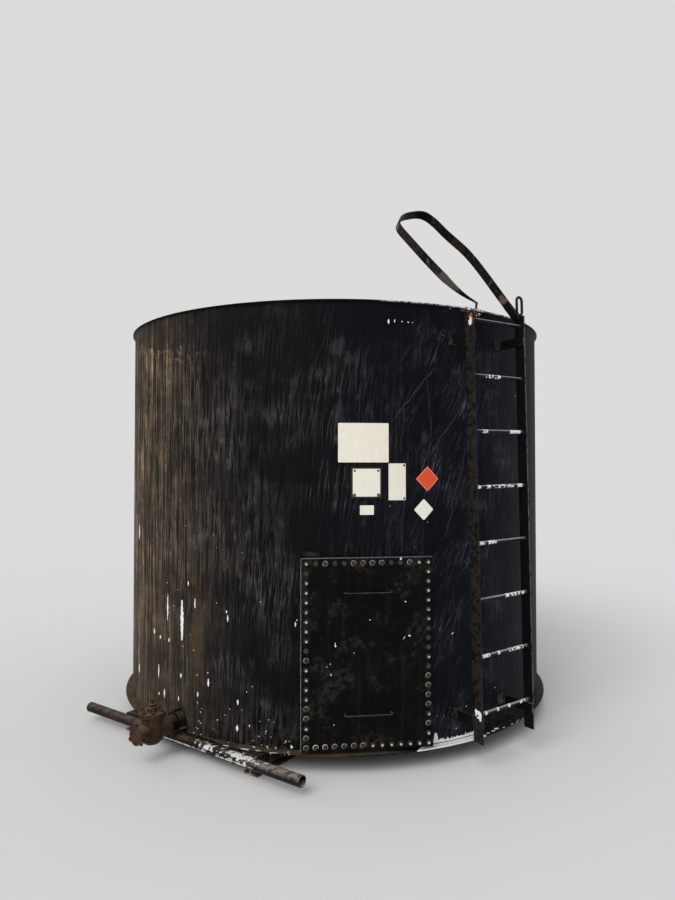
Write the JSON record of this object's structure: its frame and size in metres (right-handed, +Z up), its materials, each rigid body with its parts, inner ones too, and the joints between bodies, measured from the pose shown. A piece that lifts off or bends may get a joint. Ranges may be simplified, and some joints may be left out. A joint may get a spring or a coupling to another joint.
{
  "type": "upright cylindrical storage tank",
  "caption": "Upright round steel storage tank on a low skid, with a bolted cleanout door, side ladder, outlet valve and a hinged roof hatch.",
  "frame": {"origin": "on the ground under the tank's axis, on the bottom face of the skid's middle cross member", "axes": "+Z up along the tank's axis, -Y out of the cleanout door, +X to the right of someone facing the door"},
  "size_m": [3.3448, 3.4068, 3.1746],
  "materials": {
    "shell_coating": "black sprayed coating, satin, streaked with tan dust and chipped to white",
    "plate_coating": "black coating, flaking to white and rust at the edges",
    "door_coating": "black coating, satin, dusty",
    "gasket_rubber": "matte black rubber",
    "ladder_coating": "black paint worn to brown rust, splashed with white",
    "valve_iron": "rusty cast iron, caked with dirt",
    "strap_steel": "black paint over rusty flat steel",
    "skid_steel": "black coating flaking to white primer and rust",
    "fitting_coating": "black coating, dusty"
  },
  "bodies": {
    "tank": {"bottom_plate": "plate_coating", "cleanout_cover": "door_coating", "cleanout_gasket": "gasket_rubber", "cleanout_handle_lower": "door_coating", "cleanout_handle_upper": "door_coating", "cleanout_neck": "door_coating", "fill_coupling": "fitting_coating", "grab_loop": "strap_steel", "grab_loop_buckle": "strap_steel", "grab_loop_hook": "strap_steel", "hatch_hinge_ear_left": "fitting_coating", "hatch_hinge_ear_right": "fitting_coating", "hatch_hinge_pin": "fitting_coating", "hatch_neck": "fitting_coating", "ladder_bracket_lower_left": "ladder_coating", "ladder_bracket_lower_right": "ladder_coating", "ladder_bracket_upper_left": "ladder_coating", "ladder_bracket_upper_right": "ladder_coating", "ladder_rail_left": "ladder_coating", "ladder_rail_right": "ladder_coating", "ladder_rung_1": "ladder_coating", "ladder_rung_2": "ladder_coating", "ladder_rung_3": "ladder_coating", "ladder_rung_4": "ladder_coating", "ladder_rung_5": "ladder_coating", "ladder_rung_6": "ladder_coating", "ladder_rung_7": "ladder_coating", "ladder_rung_8": "ladder_coating", "outlet_cap": "valve_iron", "outlet_nozzle": "plate_coating", "outlet_union": "plate_coating", "pull_bar_front": "skid_steel", "pull_bar_rear": "skid_steel", "rail_ring": "strap_steel", "rim_lug": "strap_steel", "roof_deck": "plate_coating", "roof_vent": "fitting_coating", "shell_sheet_back": "shell_coating", "shell_sheet_front": "shell_coating", "shell_sheet_left": "shell_coating", "shell_sheet_right": "shell_coating", "skid_cross_member_1": "skid_steel", "skid_cross_member_2": "skid_steel", "skid_cross_member_3": "skid_steel", "skid_runner_left": "skid_steel", "skid_runner_right": "skid_steel", "valve_body": "valve_iron", "valve_bonnet": "valve_iron", "valve_stem": "valve_iron"},
    "lid": {"hatch_lid": "fitting_coating"}
  },
  "joints": [
    {"name": "hatch_hinge", "type": "hinge", "parent": "tank", "child": "lid", "pos_m": [0.26339, -0.48511, 2.68906], "axis": [-0.8788, -0.4772, 0], "range_deg": [0, 100]}
  ]
}
